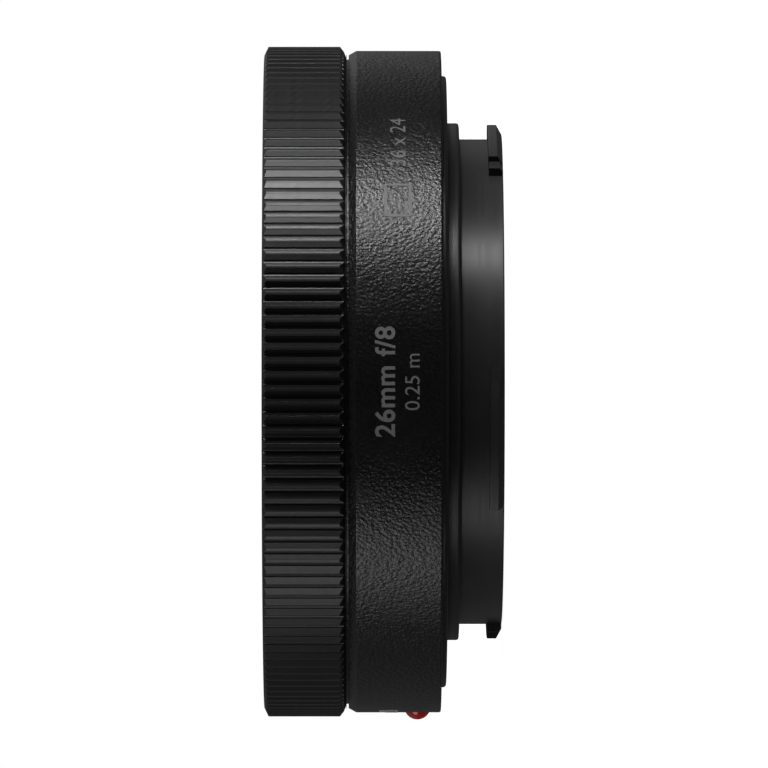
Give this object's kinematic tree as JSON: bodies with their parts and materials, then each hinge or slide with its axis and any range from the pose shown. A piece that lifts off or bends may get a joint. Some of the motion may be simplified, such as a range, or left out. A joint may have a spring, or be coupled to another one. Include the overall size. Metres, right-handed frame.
{
  "type": "prime camera lens",
  "caption": "Thin pancake prime lens: knurled focus ring, grained barrel, bayonet rear with lugs, and a small optical cell that a cam moves forward to focus.",
  "frame": {"origin": "centre of the bayonet flange's bearing face, on the optical axis", "axes": "+Z along the optical axis towards the subject, so the lens stands on its rear rim; -X towards the red index bead; -Y towards the viewer of the side view"},
  "size_m": [0.0677, 0.0674, 0.0238],
  "materials": {
    "satin_black_metal": "satin black anodised aluminium",
    "wrinkle_black": "fine wrinkle-grain black paint",
    "mount_black": "semi-matte black, smooth turned",
    "matt_black_plastic": "matt black moulded plastic",
    "black_steel": "blackened steel",
    "bright_steel": "plain steel",
    "raw_aluminium": "machined aluminium",
    "black_aluminium": "black anodised aluminium",
    "brass_shim": "rolled brass",
    "brass_roller": "turned brass",
    "slide_plastic": "low-friction plastic",
    "red_enamel": "glossy red",
    "coated_glass": "coated optical glass"
  },
  "bodies": {
    "barrel": {"bayonet_mount": "mount_black", "mount_screws": "black_steel", "mount_shim": "brass_shim", "main_barrel": "wrinkle_black", "index_dot": "red_enamel", "guide_tube": "raw_aluminium", "guide_screws": "bright_steel", "rear_baffle": "matt_black_plastic", "baffle_screws": "black_steel", "wave_spring": "bright_steel", "thrust_washer": "slide_plastic", "retaining_ring": "raw_aluminium", "index_ring": "satin_black_metal"},
    "focus": {"focus_ring": "satin_black_metal", "ring_screws": "bright_steel", "focus_hub": "raw_aluminium", "cam_ring": "raw_aluminium", "cam_ring_screws": "bright_steel", "stop_pin": "bright_steel", "scale_ring": "satin_black_metal"},
    "cell": {"lens_cell": "black_aluminium", "cam_rollers": "brass_roller", "roller_screws": "bright_steel", "front_baffle": "matt_black_plastic", "element_1": "coated_glass", "spacer_1": "black_aluminium", "element_2": "coated_glass", "aperture_stop": "black_steel", "element_3": "coated_glass", "spacer_2": "black_aluminium", "element_4": "coated_glass", "spacer_3": "black_aluminium", "element_5": "coated_glass", "rear_retainer": "black_aluminium"}
  },
  "joints": [
    {"name": "focus_turn", "type": "hinge", "parent": "barrel", "child": "focus", "pos_m": [0, 0, 0], "axis": [0, 0, 1], "range_deg": [0, 90]},
    {"name": "focus_slide", "type": "slide", "parent": "barrel", "child": "cell", "axis": [0, 0, 1], "range_m": [0, 0.0035]}
  ],
  "couplings": [
    {"joint": "focus_slide", "follows": "focus_turn", "m_per_rad": 0.002228}
  ]
}
